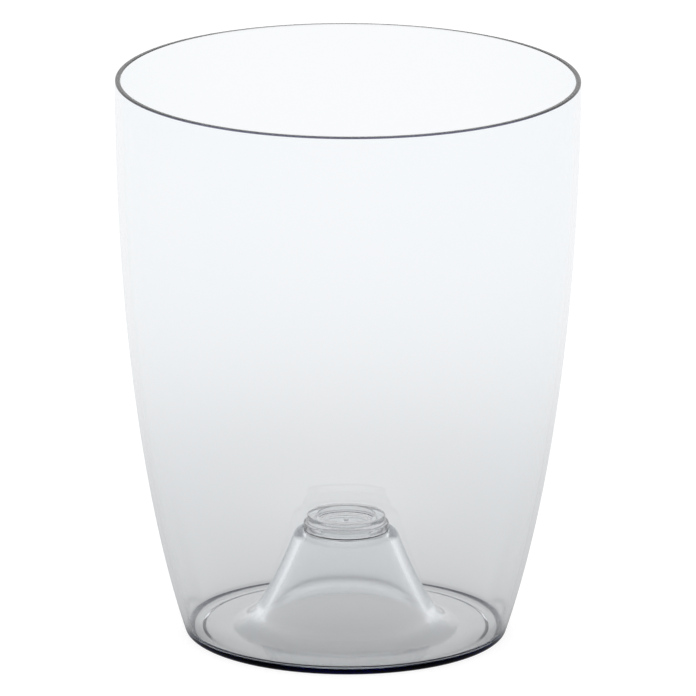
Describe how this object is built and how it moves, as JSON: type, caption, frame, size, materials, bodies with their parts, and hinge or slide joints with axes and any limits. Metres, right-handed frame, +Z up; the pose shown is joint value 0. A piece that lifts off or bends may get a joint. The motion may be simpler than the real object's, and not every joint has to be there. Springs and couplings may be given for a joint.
{
  "type": "clear orchid pot",
  "caption": "Clear plastic cover pot for an orchid: curved tapering wall, hollow cone in the floor that holds the grow pot above the water, and a clear push-in plug on the cone.",
  "frame": {"origin": "on the ground under the middle of the pot, level with the underside of the foot ring", "axes": "+Z up along the pot's axis of revolution; +X and +Y are any two square directions, because the pot is round"},
  "size_m": [0.13, 0.13, 0.16],
  "materials": {
    "pot_clear": "clear, polished, faint blue-grey tint",
    "plug_clear": "clear, polished, faint blue-grey tint"
  },
  "bodies": {
    "pot": {"pot_shell": "pot_clear"},
    "plug": {"cone_plug": "plug_clear"}
  },
  "joints": [
    {"name": "plug_lift", "type": "slide", "parent": "pot", "child": "plug", "axis": [0, 0, 1], "range_m": [0, 0.135]}
  ]
}
